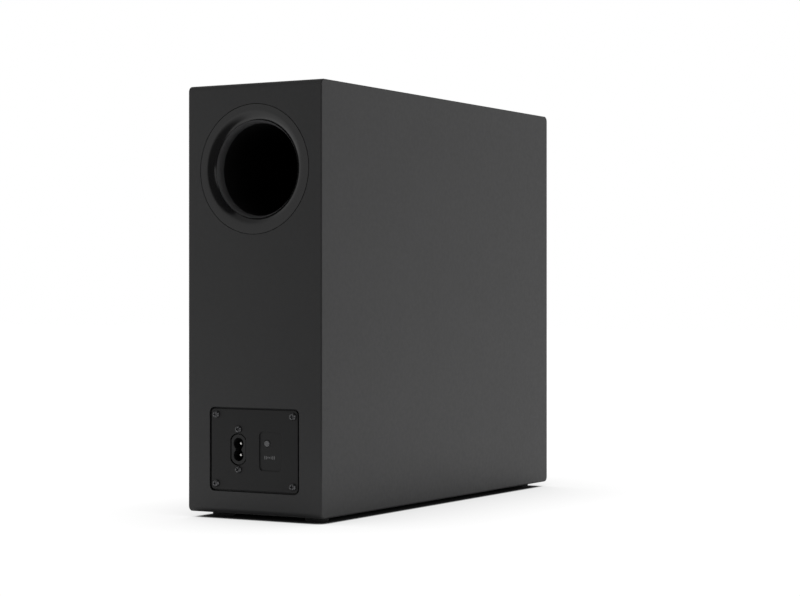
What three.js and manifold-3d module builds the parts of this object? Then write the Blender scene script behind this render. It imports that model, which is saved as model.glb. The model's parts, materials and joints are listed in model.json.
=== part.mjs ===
// Slim wireless bass cabinet of a soundbar system, standing on its four feet.
// Millimetres, +Z up. The origin is the middle of the footprint at floor level, the bass reflex
// port and the connector plate face +Y, and the side-firing woofer faces +X.
import * as THREE from "three";
import { mergeVertices } from "three/addons/utils/BufferGeometryUtils.js";
import { RoundedBoxGeometry } from "three/addons/geometries/RoundedBoxGeometry.js";
import Module from "manifold-3d";

// ---- driving dimensions -------------------------------------------------------------------
const WIDTH = 120;
const DEPTH = 372.8; // the plate's screw heads add SCREW_PROUD to the overall length
const HEIGHT = 327; // floor to top, feet included
const WALL = 12;
const EDGE_RADIUS = 4.2; // the edges that run across, along X
const SIDE_EDGE_RADIUS = 1; // the edges round the two side faces
const SCREW_PROUD = 1.5; // how far the plate's screw heads stand out of the rear face

const FOOT = { radius: 9, height: 4, insetX: 18, insetY: 22 };

const PORT = {
  height: 262.5, // centre above the floor
  bore: 34.8,
  wall: 2.5,
  flange: 48.6,
  flangeThickness: 2.8,
  flare: 9.5,
  sleeve: 11,
  innerFlare: 10,
  length: 285,
};

const PLATE = {
  height: 52.4, // centre above the floor
  size: [77.8, 60.8],
  corner: 3,
  thickness: 2,
  recess: 0.5,
  gap: 1.1,
  opening: [60, 44], // way through the rear board for the electronics
  screws: [34.4, 26],
};
const GASKET = 0.8;

const INLET = {
  at: [-14.2, 0.2],
  bezel: [12.9, 22.6],
  bezelArc: 7,
  gap: 0.8,
  cavity: [8.9, 17.6],
  waist: 5.4,
  cavityDepth: 12,
  pinPitch: 8.6,
  pin: 1.2,
  screwPitch: 30.3,
  depth: 21,
};

const POCKET = { at: [14.6, -0.4], size: [20, 29], corner: 3, depth: 0.8, floor: 1.9 };
const BUTTON = { at: [11.2, 5.3], radius: 2.3 };

const BOARD = 1.6; // circuit board thickness

const WOOFER = {
  y: -60,
  z: 130,
  opening: 83, // hole in the side board
  flange: 82,
  seat: -16, // flange seat, below the outer face of the side board
  ring: 93,
  bolts: 78,
  surroundOuter: 71,
  surroundInner: 59,
  neck: 19.5,
};
const GRILLE = { radius: 85.6, rebate: 86, depth: 3.5, sheet: 1.2 };

const CLEAR = 0.3; // running gap between pieces cut for one another
const GLUE = 0.1; // thin joint line between pieces that are stuck together

// ---- materials ------------------------------------------------------------------------------
const look = (color, roughness, metalness = 0) =>
  new THREE.MeshStandardMaterial({ color, roughness, metalness });
const MATTE_FILM = look(0x303032, 0.62);
const SATIN_PLASTIC = look(0x1c1c1e, 0.42);
const BLACK_PLASTIC = look(0x141415, 0.5);
const GREY_PLASTIC = look(0x4c4d50, 0.45);
const BLACK_STEEL = look(0x1b1b1d, 0.38, 0.8);
const BRIGHT_METAL = look(0xb9bbbe, 0.28, 1);
const ZINC_STEEL = look(0x8d9092, 0.4, 0.9);
const ALUMINIUM = look(0xa7aaad, 0.42, 0.9);
const RUBBER = look(0x101011, 0.85);
const RAW_BOARD = look(0x9a7a55, 0.8);
const PAPER_CONE = look(0x1d1d1d, 0.9);
const FERRITE = look(0x2b2b2d, 0.7);
const CIRCUIT = look(0x1f4a2c, 0.5);
const COPPER = look(0x9c5a2e, 0.4, 0.8);
const FIBRE = look(0xc9c8c2, 0.95);
const LEAD = look(0x2a2a2c, 0.6);

// ---- solids ---------------------------------------------------------------------------------
const wasm = await Module();
wasm.setup();

// A closed geometry as a manifold-3d solid.
function solid(geometry) {
  const bare = geometry.index ? geometry.toNonIndexed() : geometry.clone();
  bare.deleteAttribute("normal");
  bare.deleteAttribute("uv");
  const merged = mergeVertices(bare, 1e-3);
  return new wasm.Manifold(
    new wasm.Mesh({
      numProp: 3,
      vertProperties: merged.attributes.position.array,
      triVerts: new Uint32Array(merged.index.array),
    }),
  );
}

// A manifold-3d solid as a flat-shaded geometry.
function shown(body) {
  const mesh = body.getMesh();
  const geometry = new THREE.BufferGeometry();
  geometry.setAttribute("position", new THREE.BufferAttribute(mesh.vertProperties, 3));
  geometry.setIndex(new THREE.BufferAttribute(mesh.triVerts, 1));
  const flat = geometry.toNonIndexed();
  flat.computeVertexNormals();
  return flat;
}

// base with every one of the tools cut away.
function cut(base, ...tools) {
  return shown(tools.reduce((body, tool) => body.subtract(solid(tool)), solid(base)));
}

// All the geometries joined into one solid.
function join(...pieces) {
  return shown(pieces.slice(1).reduce((body, piece) => body.add(solid(piece)), solid(pieces[0])));
}

// A box between two corners.
function block(low, high) {
  const size = high.map((value, i) => value - low[i]);
  const middle = high.map((value, i) => (value + low[i]) / 2);
  return new THREE.BoxGeometry(...size).translate(...middle);
}

// A solid of revolution about Z from [radius, z] points, closed on the axis or on itself.
function turned(points, segments) {
  const loop = points.map(([radius, z]) => new THREE.Vector2(radius, z));
  const area = loop.reduce((sum, p, i) => {
    const next = loop[(i + 1) % loop.length];
    return sum + p.x * next.y - next.x * p.y;
  }, 0);
  if (area < 0) loop.reverse();
  const onAxis = loop.filter((p) => p.x === 0);
  if (onAxis.length === 0) loop.push(loop[0].clone());
  else while (loop[0].x !== 0 || loop[loop.length - 1].x !== 0) loop.push(loop.shift());
  return new THREE.LatheGeometry(loop, segments).rotateX(Math.PI / 2);
}

// A round bar along Z.
function bar(radius, low, high, segments = 16) {
  return turned([[0, low], [radius, low], [radius, high], [0, high]], segments);
}

// A ring along Z.
function ring(inner, outer, low, high, segments = 32) {
  return turned([[inner, low], [outer, low], [outer, high], [inner, high]], segments);
}

// A flat shape standing between two levels along Z.
function slab(shape, low, high, curveSegments = 4) {
  const options = { depth: high - low, bevelEnabled: false, curveSegments };
  return new THREE.ExtrudeGeometry(shape, options).translate(0, 0, low);
}

function roundedRectangle(width, height, radius) {
  const [x, y] = [width / 2, height / 2];
  const shape = new THREE.Shape();
  shape.absarc(x - radius, y - radius, radius, 0, Math.PI / 2);
  shape.absarc(radius - x, y - radius, radius, Math.PI / 2, Math.PI);
  shape.absarc(radius - x, radius - y, radius, Math.PI, Math.PI * 1.5);
  shape.absarc(x - radius, radius - y, radius, Math.PI * 1.5, Math.PI * 2);
  shape.closePath();
  return shape;
}

// An upright outline with straight sides and an arc across each end.
function archedOutline(width, height, radius) {
  const half = Math.asin(width / 2 / radius);
  const centre = height / 2 - radius;
  const shape = new THREE.Shape();
  shape.absarc(0, centre, radius, Math.PI / 2 - half, Math.PI / 2 + half);
  shape.absarc(0, -centre, radius, Math.PI * 1.5 - half, Math.PI * 1.5 + half);
  shape.closePath();
  return shape;
}

// A mains inlet's figure of eight: two rounds, one over each pin, joined by a narrow waist.
function figureEight(width, height, waist) {
  const radius = width / 2;
  const centre = height / 2 - radius;
  const turn = Math.acos(waist / width);
  const shape = new THREE.Shape();
  shape.absarc(0, centre, radius, -turn, Math.PI + turn);
  shape.absarc(0, -centre, radius, Math.PI - turn, Math.PI * 2 + turn);
  shape.closePath();
  return shape;
}

// A round lead through the points, as a section swept along a smooth curve.
function lead(points, radius, steps) {
  const section = new THREE.Shape().absarc(0, 0, radius, 0, Math.PI * 2);
  const path = new THREE.CatmullRomCurve3(points.map((p) => new THREE.Vector3(...p)));
  const options = { steps, curveSegments: 4, extrudePath: path, bevelEnabled: false };
  return new THREE.ExtrudeGeometry(section, options);
}

const part = new THREE.Group();

function add(group, name, geometry, material, position = [0, 0, 0]) {
  const mesh = new THREE.Mesh(geometry, material);
  mesh.name = name;
  mesh.position.set(...position);
  group.add(mesh);
}

// A group whose own Z points along the given row direction, with its own Y upright.
function facing(direction, position) {
  const outward = new THREE.Vector3(...direction);
  const upright = new THREE.Vector3(0, 0, 1);
  const across = new THREE.Vector3().crossVectors(upright, outward);
  const group = new THREE.Group();
  group.quaternion.setFromRotationMatrix(new THREE.Matrix4().makeBasis(across, upright, outward));
  group.position.set(...position);
  part.add(group);
  return group;
}

// A pan head screw with a cross recess: the head stands on z = 0, the shank goes down from it.
function panScrew(head, height, shank, length) {
  const edge = height * 0.4;
  const profile = [
    [0, -length],
    [shank * 0.3, -length],
    [shank, -length + shank],
    [shank, 0],
    [head, 0],
    [head, edge],
    [head * 0.72, height * 0.86],
    [0, height],
  ];
  const arm = head * 0.62;
  const slot = head * 0.13;
  return cut(
    turned(profile, 8),
    block([-arm, -slot, height * 0.25], [arm, slot, height + 1]),
    block([-slot, -arm, height * 0.25], [slot, arm, height + 1]),
  );
}

// ---- cabinet: six boards under one rounded skin ----------------------------------------------
const FLOOR_GAP = FOOT.height;
const REAR = DEPTH / 2 - SCREW_PROUD / 2; // y of the rear face
const FRONT = REAR - DEPTH;
const [INNER_X, INNER_TOP, INNER_BOTTOM] = [WIDTH / 2 - WALL, HEIGHT - WALL, FLOOR_GAP + WALL];

function board(low, high) {
  const height = HEIGHT - FLOOR_GAP;
  const profile = slab(roundedRectangle(DEPTH, height, EDGE_RADIUS), -WIDTH, WIDTH, 6);
  profile.rotateZ(Math.PI / 2).rotateY(Math.PI / 2);
  const skin = solid(new RoundedBoxGeometry(WIDTH, DEPTH, height, 2, SIDE_EDGE_RADIUS));
  const cabinet = skin.intersect(solid(profile));
  const place = [0, (REAR + FRONT) / 2, (HEIGHT + FLOOR_GAP) / 2];
  return shown(cabinet.translate(place).intersect(solid(block(low, high))));
}

function alongY(geometry, height) {
  return geometry.rotateX(-Math.PI / 2).translate(0, REAR, height);
}

function alongX(geometry) {
  return geometry.rotateY(Math.PI / 2).translate(WIDTH / 2, WOOFER.y, WOOFER.z);
}

// The front and rear boards cover the ends of the other four.
function addCabinet() {
  const group = new THREE.Group();
  part.add(group);
  const [x, top, bottom] = [INNER_X, INNER_TOP, INNER_BOTTOM];
  const side = WIDTH / 2;
  const [near, far] = [REAR - WALL, FRONT + WALL];
  const wooferSide = cut(
    board([x, far, FLOOR_GAP], [side, near, HEIGHT]),
    alongX(bar(WOOFER.opening, -WALL - 1, 1, 48)),
    alongX(bar(GRILLE.rebate, -GRILLE.depth, 1, 48)),
  );
  const front = board([-side, FRONT, FLOOR_GAP], [side, far, HEIGHT]);
  add(group, "side_board_plain", board([-side, far, FLOOR_GAP], [-x, near, HEIGHT]), MATTE_FILM);
  add(group, "side_board_woofer", wooferSide, MATTE_FILM);
  add(group, "top_board", board([-x, far, top], [x, near, HEIGHT]), MATTE_FILM);
  add(group, "bottom_board", board([-x, far, FLOOR_GAP], [x, near, bottom]), MATTE_FILM);
  add(group, "front_board", front, MATTE_FILM);
  add(group, "rear_board", rearBoard(), MATTE_FILM);
}

function rearBoard() {
  const rebate = roundedRectangle(
    PLATE.size[0] + 2 * PLATE.gap,
    PLATE.size[1] + 2 * PLATE.gap,
    PLATE.corner + PLATE.gap,
  );
  const seat = PLATE.recess + PLATE.thickness + GASKET + 2 * GLUE;
  const tools = [
    bar(PORT.flange + CLEAR, -PORT.flangeThickness - GLUE, 1, 40),
    bar(PORT.bore + PORT.flare + PORT.wall + CLEAR, -WALL - 1, 1, 32),
  ].map((tool) => alongY(tool, PORT.height));
  const flat = [slab(rebate, -seat, 1), slab(roundedRectangle(...PLATE.opening, 2), -WALL - 1, 1)];
  for (const [u, v] of corners(PLATE.screws)) {
    flat.push(bar(1.7, 1 - WALL, 1, 8).translate(u, v, 0));
  }
  tools.push(...flat.map((tool) => alongY(tool, PLATE.height)));
  const side = WIDTH / 2;
  return cut(board([-side, REAR - WALL, FLOOR_GAP], [side, REAR, HEIGHT]), ...tools);
}

// The four corners of a rectangle with these half sides.
function corners([x, y]) {
  return [[-x, y], [x, y], [x, -y], [-x, -y]];
}

function addInsideWood() {
  const group = new THREE.Group();
  part.add(group);
  const [x, top, bottom] = [INNER_X - GLUE, INNER_TOP - GLUE, INNER_BOTTOM + GLUE];
  const [near, far] = [38, 50];
  const brace = cut(
    block([-x, near, bottom], [x, far, top]),
    alongY(bar(PORT.bore + PORT.wall + CLEAR, near - far - 200, 0, 48), PORT.height),
    block([-32, near - 1, 40], [32, far + 1, 200]),
  );
  add(group, "inner_brace", brace, RAW_BOARD);
  const pad = new RoundedBoxGeometry(10, 176, 190, 2, 3).translate(5 + GLUE - INNER_X, -70, 122);
  add(group, "damping_pad", pad, FIBRE);
}

function addFeet() {
  const group = new THREE.Group();
  part.add(group);
  const middle = (REAR + FRONT) / 2;
  const spots = corners([WIDTH / 2 - FOOT.insetX, DEPTH / 2 - FOOT.insetY]);
  const names = ["foot_rear_plain", "foot_rear_woofer", "foot_front_woofer", "foot_front_plain"];
  spots.forEach(([x, y], i) => {
    const { radius, height } = FOOT;
    const profile = [[0, 0], [radius - 1, 0], [radius, 1], [radius, height], [0, height]];
    add(group, names[i], turned(profile, 20), RUBBER, [x, y + middle, 0]);
  });
}

// ---- bass reflex port --------------------------------------------------------------------------
function addPort() {
  const group = facing([0, 1, 0], [0, REAR, PORT.height]);
  const { bore, wall, flange, flangeThickness, flare, sleeve, length, innerFlare } = PORT;
  const mouth = quarter(bore + flare, -flare, flare, 5);
  const back = quarter(bore + flare, -flare, flare - wall, 3).reverse();
  const outer = bore + wall;
  add(group, "port_flange", turned([
    [flange, -flangeThickness],
    [flange, -0.2],
    [flange - 0.2, 0],
    ...mouth,
    [bore, -sleeve],
    [outer, -sleeve],
    ...back.slice(0, -1),
    [bore + flare, -flangeThickness],
  ], 36), SATIN_PLASTIC);
  const tubeEnd = -length + innerFlare + GLUE;
  add(group, "port_tube", ring(bore, outer, tubeEnd, -sleeve - GLUE, 36), BLACK_PLASTIC);
  const lip = quarter(bore + innerFlare, -length + innerFlare, innerFlare, 4, -1);
  const lipBack = quarter(bore + innerFlare, -length + innerFlare, innerFlare - wall, 3, -1);
  add(group, "port_inner_flare", turned([...lip, ...lipBack.reverse()], 32), BLACK_PLASTIC);
}

// A quarter of a circle about [x, z], from straight along Z (side 1 outward, -1 inward) to the bore.
function quarter(x, z, radius, steps, side = 1) {
  const points = [];
  for (let i = 0; i <= steps; i++) {
    const angle = (Math.PI / 2) * (i / steps);
    points.push([x - radius * Math.sin(angle), z + side * radius * Math.cos(angle)]);
  }
  return points;
}

// ---- connector plate -----------------------------------------------------------------------------
const PLATE_FACE = -PLATE.recess;
const PLATE_BACK = PLATE_FACE - PLATE.thickness;
const POCKET_FLOOR = PLATE_FACE - POCKET.depth;
const POCKET_BACK = POCKET_FLOOR - POCKET.floor;
const SWITCH_TOP = -8.2;
const SWITCH_BASE = -11.7;

function connectorPlate() {
  const at = ([u, v], geometry) => geometry.translate(u, v, 0);
  const hollow = roundedRectangle(...POCKET.size, POCKET.corner);
  const backing = roundedRectangle(POCKET.size[0] + 3, POCKET.size[1] + 3, POCKET.corner + 1.5);
  const body = join(
    slab(roundedRectangle(...PLATE.size, PLATE.corner), PLATE_BACK, PLATE_FACE),
    at(POCKET.at, slab(backing, POCKET_BACK, PLATE_FACE - 0.5)),
    ...boardPosts().map((spot) => at(spot, bar(1.8, SWITCH_BASE + GLUE, PLATE_BACK + 0.5, 8))),
  );
  const inletHole = archedOutline(
    INLET.bezel[0] + 2 * INLET.gap,
    INLET.bezel[1] + 2 * INLET.gap,
    INLET.bezelArc + INLET.gap,
  );
  const tools = [
    at(POCKET.at, slab(hollow, POCKET_FLOOR, 1)),
    at(BUTTON.at, bar(BUTTON.radius + CLEAR, POCKET_BACK - 1, 1, 24)),
    at(INLET.at, slab(inletHole, PLATE_BACK - 1, 1, 6)),
  ];
  const holes = [...corners(PLATE.screws), ...inletScrewSpots()];
  tools.push(...holes.map((spot) => at(spot, bar(1.7, PLATE_BACK - 1, 1, 8))));
  return cut(body, ...tools);
}

function boardPosts() {
  return [[POCKET.at[0] - 9, 13.6], [POCKET.at[0] + 9, -11.6]];
}

function inletScrewSpots() {
  return [1, -1].map((side) => [INLET.at[0], INLET.at[1] + (side * INLET.screwPitch) / 2]);
}

function plateGasket() {
  const [width, height] = PLATE.size;
  const outline = roundedRectangle(width - 0.4, height - 0.4, PLATE.corner);
  const middle = roundedRectangle(width - 14, height - 14, 2);
  const low = PLATE_BACK - GASKET - GLUE;
  return cut(
    slab(outline, low, PLATE_BACK - GLUE),
    slab(middle, low - 1, 1),
    ...corners(PLATE.screws).map(([u, v]) => bar(1.7, low - 1, 1, 8).translate(u, v, 0)),
  );
}

function inletHousing() {
  const [width, height] = INLET.bezel;
  const front = PLATE_FACE - 0.1;
  const ears = PLATE_BACK - GLUE;
  const back = front - INLET.depth;
  const spots = [1, -1].map((side) => (side * INLET.screwPitch) / 2);
  const pins = [1, -1].map((side) => (side * INLET.pinPitch) / 2);
  return cut(
    join(
      slab(archedOutline(width, height, INLET.bezelArc), ears - 1, front, 6),
      slab(roundedRectangle(width, 38, 3), ears - 2.5, ears),
      slab(roundedRectangle(width - 1, height - 1, 2), back, ears - 1),
    ),
    slab(figureEight(...INLET.cavity, INLET.waist), front - INLET.cavityDepth, 1, 6),
    ...spots.map((v) => bar(1.7, ears - 4, 1, 8).translate(0, v, 0)),
    ...pins.map((v) => bar(INLET.pin + CLEAR, back - 1, 0, 8).translate(0, v, 0)),
  );
}

function inletPin() {
  const back = PLATE_FACE - 0.1 - INLET.depth;
  const tip = PLATE_FACE - 3;
  return turned([
    [0, back - 6],
    [0.9, back - 6],
    [0.9, back - 1],
    [2, back - 1],
    [2, back],
    [INLET.pin, back],
    [INLET.pin, tip - 0.7],
    [0.6, tip],
    [0, tip],
  ], 16);
}

function pairButton() {
  const { radius } = BUTTON;
  const stop = POCKET_BACK - 0.2;
  return turned([
    [0, SWITCH_TOP + 2.2],
    [1.4, SWITCH_TOP + 2.2],
    [1.4, stop - 1],
    [radius + 1.1, stop - 1],
    [radius + 1.1, stop],
    [radius, stop],
    [radius, PLATE_FACE - 0.4],
    [radius - 0.4, PLATE_FACE],
    [0, PLATE_FACE],
  ], 24);
}

function pairSwitch() {
  return cut(
    block([-3, -3, SWITCH_BASE], [3, 3, SWITCH_TOP]),
    bar(1.9, SWITCH_TOP - 1.4, 1, 16),
  );
}

function addPlate() {
  const group = facing([0, 1, 0], [0, REAR, PLATE.height]);
  add(group, "connector_plate", connectorPlate(), SATIN_PLASTIC);
  add(group, "plate_gasket", plateGasket(), RUBBER);
  const plateScrew = panScrew(2.9, SCREW_PROUD - PLATE_FACE, 1.4, 10);
  corners(PLATE.screws).forEach(([u, v], i) => {
    add(group, `plate_screw_${i + 1}`, plateScrew, BLACK_STEEL, [u, v, PLATE_FACE]);
  });
  add(group, "mains_inlet", inletHousing(), BLACK_PLASTIC, [...INLET.at, 0]);
  const inletScrew = panScrew(2.75, 1.9, 1.3, 6);
  ["upper", "lower"].forEach((name, i) => {
    const side = 1 - 2 * i;
    const [u, v] = INLET.at;
    const pinSpot = [u, v + (side * INLET.pinPitch) / 2, 0];
    add(group, `inlet_pin_${name}`, inletPin(), BRIGHT_METAL, pinSpot);
    const screwSpot = [u, v + (side * INLET.screwPitch) / 2, PLATE_FACE];
    add(group, `inlet_screw_${name}`, inletScrew, BLACK_STEEL, screwSpot);
  });
  const spot = [...BUTTON.at, 0];
  add(group, "pair_button", pairButton(), GREY_PLASTIC, spot);
  add(group, "switch_plunger", bar(1.6, SWITCH_TOP - 0.4, SWITCH_TOP + 2.2), BLACK_PLASTIC, spot);
  add(group, "pair_switch", pairSwitch(), ZINC_STEEL, spot);
  const [low, high] = [SWITCH_BASE - BOARD, SWITCH_BASE];
  const boardSize = [POCKET.at[0] - 12, -14, low];
  add(group, "button_board", block(boardSize, [POCKET.at[0] + 12, 16, high]), CIRCUIT);
}

// ---- amplifier, on a tray behind the connector plate ------------------------------------------------
const TRAY = { half: 28, low: -21.5, thickness: 1.5, near: -6, far: -122 };
const TRAY_TOP = TRAY.low + TRAY.thickness;
const BOARD_TOP = TRAY_TOP + 3 + BOARD;

function heatsink() {
  const fins = [-10, -5, 0, 5, 10].map((u) => block([u - 0.8, 2, -34], [u + 0.8, 18, 0]));
  return join(block([-12, 0, -34], [12, 3, 0]), ...fins);
}

function upright(geometry) {
  return geometry.rotateX(-Math.PI / 2);
}

function addAmplifier() {
  const group = facing([0, 1, 0], [0, REAR, PLATE.height]);
  const { half, low, near, far } = TRAY;
  const standoffs = [[-23, -28], [23, -28], [-23, -112], [23, -112]].map(([u, w]) =>
    block([u - 2, TRAY_TOP - 0.5, w - 2], [u + 2, TRAY_TOP + 3 - GLUE, w + 2]));
  const tray = join(
    block([-half, low, far], [half, TRAY_TOP, near]),
    block([2, low, near - 2], [half, -17, PLATE_BACK - GLUE]),
    ...standoffs,
  );
  add(group, "amp_tray", tray, ALUMINIUM);
  const boardLow = [1 - half, TRAY_TOP + 3, far + 1];
  add(group, "amp_board", block(boardLow, [half - 1, BOARD_TOP, -24]), CIRCUIT);
  const top = BOARD_TOP + GLUE;
  const transformer = join(
    block([-13, 0, -11], [13, 6, 11]),
    block([-13, 14, -11], [13, 20, 11]),
    block([-8, 5, -8], [8, 15, 8]),
  );
  add(group, "transformer", transformer, FERRITE, [-11, top, -44]);
  add(group, "mains_capacitor", upright(bar(8, 0, 24, 24)), BLACK_PLASTIC, [15, top, -44]);
  add(group, "output_capacitor", upright(bar(6.5, 0, 20, 24)), BLACK_PLASTIC, [18, top, -108]);
  add(group, "heatsink", heatsink(), ALUMINIUM, [-11, top, -64]);
  const choke = upright(turned([[3, 0], [8, 0], [8.6, 3], [8, 6], [3, 6]], 24));
  add(group, "output_choke", choke, COPPER, [14, top, -74]);
  const radio = join(block([-10, 0, 0], [10, 15, 1]), block([-7, 3, 0.5], [7, 12, 3]));
  add(group, "radio_module", radio, ZINC_STEEL, [14, top, -94]);
  add(group, "speaker_socket", block([-6, 0, -4], [6, 9, 4]), GREY_PLASTIC, [-12, top, -112]);
  addLeads(group, top);
}

function addLeads(group, top) {
  const pinEnd = PLATE_FACE - 0.1 - INLET.depth - 6.5;
  const mains = [
    [INLET.at[0], INLET.at[1], pinEnd],
    [INLET.at[0], INLET.at[1] + 1.5, pinEnd - 2],
    [-8, 7, pinEnd - 2.6],
    [1.5, 7.5, pinEnd - 2.6],
    [5.4, 2, pinEnd - 4],
    [5.4, -8, pinEnd - 6],
    [5.4, top + 0.4, pinEnd - 6],
  ];
  add(group, "inlet_lead", lead(mains, 1.6, 16), LEAD);
  const speaker = [
    [-12, top + 9.4, -112],
    [-12, top + 16, -113],
    [-12, 8, -124],
    [-8, 14, -150],
    [6, 26, -178],
    [2, 62, -178.5],
    [-8, 75, -174.5],
    [-15, 78, -172.5],
  ];
  add(group, "woofer_lead", lead(speaker, 1.6, 28), LEAD);
}

// ---- woofer, firing sideways through a flush round grille ------------------------------------------
const FLANGE_BACK = WOOFER.seat + 0.9;
const FLANGE_FACE = FLANGE_BACK + 2.2;
const BASKET_FLOOR = -50;
const PLATE_STACK = { top: [-56, -50.1], magnet: [-74, -56.1], back: [-80, -74.1] };

function wooferRing() {
  const { ring: outer, seat, flange, bolts } = WOOFER;
  const deep = -WALL - GLUE - 12;
  const tools = boltSpots().map(([u, v]) => bar(1.8, deep - 1, 0, 8).translate(u, v, 0));
  const profile = [
    [flange - 8.5, deep],
    [outer, deep],
    [outer, -WALL - GLUE],
    [flange + 0.6, -WALL - GLUE],
    [flange + 0.6, seat],
    [flange - 8.5, seat],
  ];
  return cut(turned(profile, 36), ...tools);
}

function boltSpots() {
  return [45, 135, 225, 315].map((degrees) => {
    const angle = THREE.MathUtils.degToRad(degrees);
    return [WOOFER.bolts * Math.cos(angle), WOOFER.bolts * Math.sin(angle)];
  });
}

function basket() {
  const { flange, surroundOuter } = WOOFER;
  const shell = turned([
    [flange, FLANGE_BACK],
    [flange, FLANGE_FACE],
    [surroundOuter - 1, FLANGE_FACE],
    [surroundOuter - 1.6, FLANGE_FACE - 1.5],
    [47, -45],
    [41, -45],
    [41, BASKET_FLOOR + 2],
    [24, BASKET_FLOOR + 2],
    [24, BASKET_FLOOR],
    [49, BASKET_FLOOR],
    [49, -46.5],
    [surroundOuter + 0.6, FLANGE_BACK],
  ], 30);
  const windows = [];
  for (let i = 0; i < 6; i++) {
    windows.push(block([40, -17, -42], [90, 17, -20]).rotateZ((i * Math.PI) / 3));
  }
  const holes = boltSpots().map(([u, v]) => bar(2, FLANGE_BACK - 1, 0, 8).translate(u, v, 0));
  const tab = block([-17, 55, -34], [-3, 70, -32.5]).rotateZ(-Math.PI / 6);
  return join(cut(shell, ...windows, ...holes), tab, block([44, -3, -46.6], [48.5, 3, -45.5]));
}

function surround() {
  const { surroundOuter, surroundInner } = WOOFER;
  const middle = (surroundOuter + surroundInner) / 2;
  const roll = (surroundOuter - surroundInner) / 2;
  const [low, high] = [FLANGE_FACE + GLUE, FLANGE_FACE + GLUE + 0.7];
  const arc = (radius, base, steps, reverse) => {
    const points = [];
    for (let i = 0; i <= steps; i++) {
      const angle = Math.PI * (reverse ? 1 - i / steps : i / steps);
      points.push([middle + radius * Math.cos(angle), base + radius * Math.sin(angle)]);
    }
    return points;
  };
  return turned([
    [surroundOuter + 3, high],
    ...arc(roll, high, 6, false),
    [surroundInner - 4, high],
    [surroundInner - 4, low],
    ...arc(roll - 0.7, low, 5, true),
    [surroundOuter + 3, low],
  ], 30);
}

function cone() {
  const rim = FLANGE_FACE;
  const { surroundInner, neck } = WOOFER;
  return turned([
    [surroundInner - 0.4, rim],
    [surroundInner - 4.2, rim],
    [neck, -35.4],
    [neck, -36.8],
    [surroundInner - 3.6, rim - 1.2],
    [surroundInner - 0.4, rim - 1],
  ], 32);
}

function dustCap() {
  const [radius, base, rise] = [23, -32.6, 6];
  const outer = [];
  const inner = [];
  for (let i = 0; i <= 4; i++) {
    const angle = (Math.PI / 2) * (i / 4);
    outer.push([radius * Math.cos(angle), base + rise * Math.sin(angle)]);
    inner.push([(radius - 1) * Math.cos(angle), base + (rise - 1) * Math.sin(angle)]);
  }
  outer[4][0] = 0;
  inner[4][0] = 0;
  return turned([...outer, ...inner.reverse()], 24);
}

function spider() {
  const [inner, outer] = [WOOFER.neck - 0.2, 46.5];
  const [low, rise, steps] = [-44.9, 1.4, 7];
  const upper = [];
  for (let i = 0; i <= steps; i++) {
    const lift = i % 2 === 1 && i < steps ? rise : 0;
    upper.push([inner + ((outer - inner) * i) / steps, low + 0.6 + lift]);
  }
  const lower = upper.map(([radius, z]) => [radius, z - 0.6]).reverse();
  return turned([...upper, ...lower], 24);
}

function backPlate() {
  const [low, high] = PLATE_STACK.back;
  const pole = WOOFER.neck - 2.1;
  return turned([
    [5, low],
    [45, low],
    [45, high],
    [pole, high],
    [pole, PLATE_STACK.top[1]],
    [5, PLATE_STACK.top[1]],
  ], 32);
}

function addWoofer() {
  const group = facing([1, 0, 0], [WIDTH / 2, WOOFER.y, WOOFER.z]);
  add(group, "woofer_ring", wooferRing(), RAW_BOARD);
  const seal = [WOOFER.flange - 7.5, WOOFER.flange, WOOFER.seat + GLUE, FLANGE_BACK - GLUE];
  const sealHoles = boltSpots().map(([u, v]) => bar(2, WOOFER.seat - 1, 0, 8).translate(u, v, 0));
  add(group, "woofer_gasket", cut(ring(...seal), ...sealHoles), RUBBER);
  add(group, "woofer_basket", basket(), BLACK_STEEL);
  add(group, "surround", surround(), RUBBER);
  add(group, "cone", cone(), PAPER_CONE);
  add(group, "dust_cap", dustCap(), PAPER_CONE);
  const { neck } = WOOFER;
  const former = join(
    ring(neck - 1, neck - 0.4, -58, -34.9, 24),
    ring(neck - 1, neck + 0.1, -58, -48, 24),
  );
  add(group, "voice_coil", former, COPPER);
  add(group, "spider", spider(), LEAD);
  add(group, "top_plate", ring(neck + 0.8, 45, ...PLATE_STACK.top), ZINC_STEEL);
  add(group, "magnet", ring(24, 50, ...PLATE_STACK.magnet), FERRITE);
  add(group, "back_plate", backPlate(), ZINC_STEEL);
  const terminals = block([-17, 60, -38], [-3, 70, -34.1]).rotateZ(-Math.PI / 6);
  add(group, "terminal_strip", terminals, GREY_PLASTIC);
  const screw = panScrew(3.2, 1.8, 1.6, 10);
  boltSpots().forEach(([u, v], i) => {
    add(group, `woofer_screw_${i + 1}`, screw, BLACK_STEEL, [u, v, FLANGE_FACE]);
  });
  const { radius, depth, sheet } = GRILLE;
  const frame = ring(78, radius, GLUE - depth, -sheet - GLUE, 48);
  add(group, "grille_frame", frame, BLACK_PLASTIC);
  add(group, "grille", bar(radius, -sheet, 0, 48), BLACK_STEEL);
}

addCabinet();
addInsideWood();
addFeet();
addPort();
addPlate();
addAmplifier();
addWoofer();

export default part;
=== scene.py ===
"""Looks of a slim wireless bass cabinet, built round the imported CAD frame. Metres, +Z up.

The rear face with the port and the connector plate faces +Y, and the woofer's grille faces +X.
"""

import json
import math

import bmesh
import bpy
from mathutils import Matrix, Vector

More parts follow.
